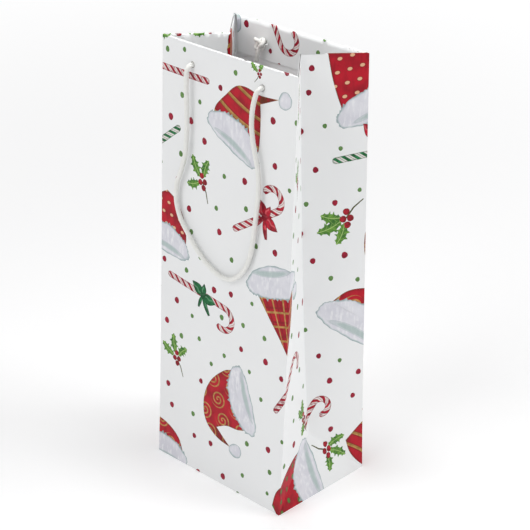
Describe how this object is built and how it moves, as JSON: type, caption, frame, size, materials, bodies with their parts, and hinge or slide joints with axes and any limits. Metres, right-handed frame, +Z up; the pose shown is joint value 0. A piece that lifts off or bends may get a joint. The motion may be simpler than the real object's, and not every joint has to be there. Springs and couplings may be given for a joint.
{
  "type": "wine gift bag",
  "caption": "Tall paper gift bag for a wine bottle, with pinched side gussets, turned-in top hem, base card and knotted cord handles that swing.",
  "frame": {"origin": "centre of the base, on the surface the bag stands on", "axes": "+Z up, front panel faces -Y, +X to the bag's right seen from the front"},
  "size_m": [0.127, 0.092, 0.33],
  "materials": {
    "printed_paper": "gloss-coated white gift-bag paper with a printed seasonal pattern",
    "plain_paper": "uncoated white reverse of the sheet",
    "grey_card": "matt greyboard",
    "cord": "soft off-white twisted cord"
  },
  "bodies": {
    "base": {"right_gusset_front": "printed_paper", "right_gusset_back": "printed_paper", "left_gusset_front": "printed_paper", "left_gusset_back": "printed_paper", "right_bottom_fold": "printed_paper", "left_bottom_fold": "printed_paper", "right_hem_front": "printed_paper", "right_hem_back": "printed_paper", "left_hem_front": "printed_paper", "left_hem_back": "printed_paper", "front_flap": "plain_paper", "back_flap": "plain_paper", "right_flap": "plain_paper", "left_flap": "plain_paper", "base_card": "grey_card"},
    "front": {"front_panel": "printed_paper", "front_hem": "printed_paper", "front_card": "grey_card", "front_left_knot": "cord", "front_right_knot": "cord"},
    "back": {"back_panel": "printed_paper", "seam_tab": "plain_paper", "back_hem": "printed_paper", "back_card": "grey_card", "back_left_knot": "cord", "back_right_knot": "cord"},
    "front_cord": {"front_handle": "cord"},
    "back_cord": {"back_handle": "cord"}
  },
  "joints": [
    {"name": "mouth_front", "type": "hinge", "parent": "base", "child": "front", "pos_m": [0, -0.0458, 0.0002], "axis": [-1, 0, 0], "range_deg": [-1.9, 4.2], "deforming": ["right_gusset_front", "left_gusset_front", "right_hem_front", "left_hem_front"]},
    {"name": "mouth_back", "type": "hinge", "parent": "base", "child": "back", "pos_m": [0, 0.0458, 0.0002], "axis": [1, 0, 0], "range_deg": [-1.9, 4.2], "deforming": ["right_gusset_back", "left_gusset_back", "right_hem_back", "left_hem_back"]},
    {"name": "front_handle_swing", "type": "hinge", "parent": "front", "child": "front_cord", "pos_m": [0, -0.0396, 0.315], "axis": [-1, 0, 0], "range_deg": [0, 175]},
    {"name": "back_handle_swing", "type": "hinge", "parent": "back", "child": "back_cord", "pos_m": [0, 0.0396, 0.315], "axis": [1, 0, 0], "range_deg": [0, 175]}
  ],
  "couplings": [
    {"joint": "mouth_back", "follows": "mouth_front", "ratio": 1}
  ]
}
